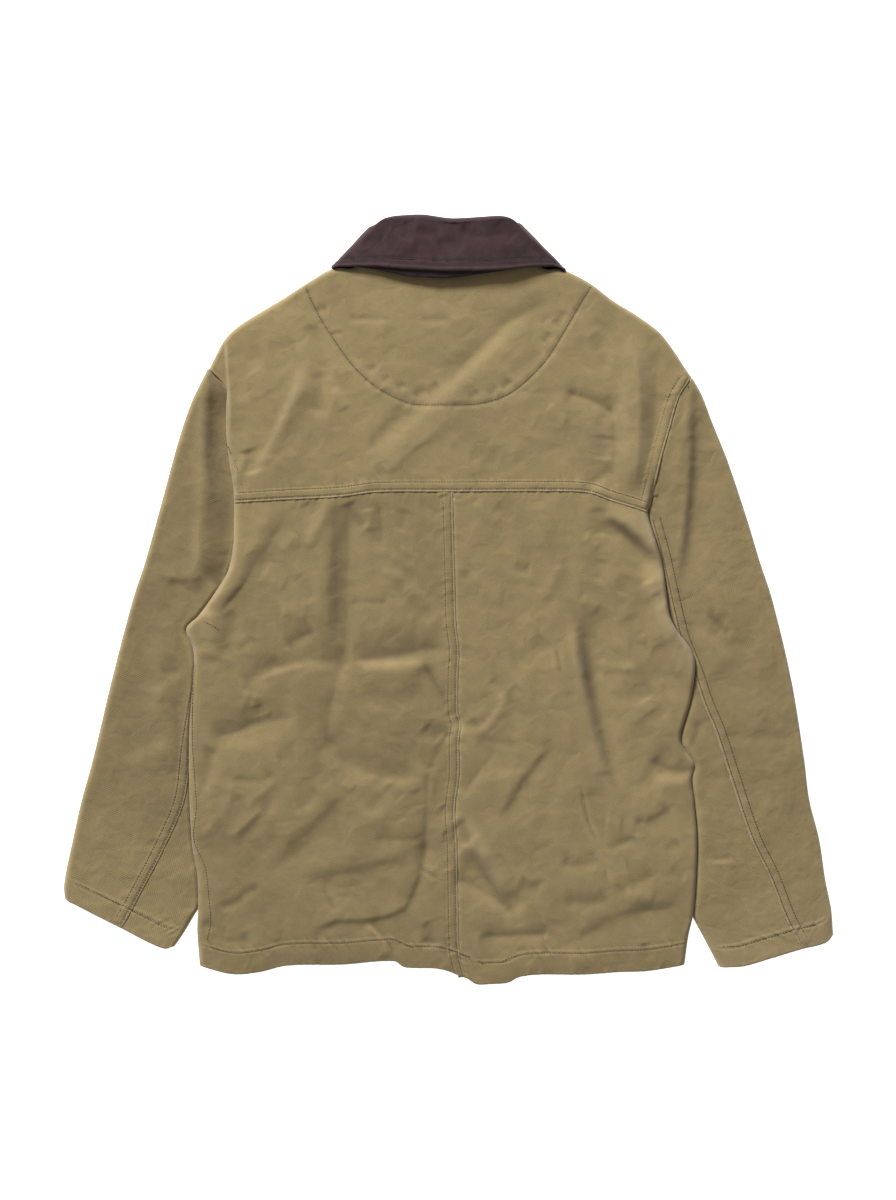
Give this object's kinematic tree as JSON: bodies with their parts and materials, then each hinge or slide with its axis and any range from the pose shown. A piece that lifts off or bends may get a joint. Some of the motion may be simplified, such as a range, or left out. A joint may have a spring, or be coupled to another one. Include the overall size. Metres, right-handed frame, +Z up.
{
  "type": "chore jacket",
  "caption": "Khaki twill work jacket with a brown turned-down collar, laid out flat on its front with its back up: yoke, felled back seam and two-piece sleeves.",
  "frame": {"origin": "centre of the bounding box, on the surface that the jacket lies on", "axes": "+Z up off the surface, +Y from the hem towards the collar, +X towards the wearer's right sleeve"},
  "size_m": [0.77, 0.7689, 0.022],
  "materials": {
    "khaki_twill": "matt cotton twill",
    "brown_collar_cloth": "soft brushed cotton",
    "dark_under_collar": "matt cotton",
    "brown_button": "satin moulded button"
  },
  "bodies": {
    "root": {"yoke": "khaki_twill", "back_left": "khaki_twill", "back_right": "khaki_twill", "front_left": "khaki_twill", "front_right": "khaki_twill", "top_sleeve_left": "khaki_twill", "top_sleeve_right": "khaki_twill", "under_sleeve_left": "khaki_twill", "under_sleeve_right": "khaki_twill", "top_collar": "brown_collar_cloth", "under_collar": "dark_under_collar", "button_1": "brown_button", "button_2": "brown_button", "button_3": "brown_button", "button_4": "brown_button", "button_5": "brown_button"}
  },
  "joints": []
}
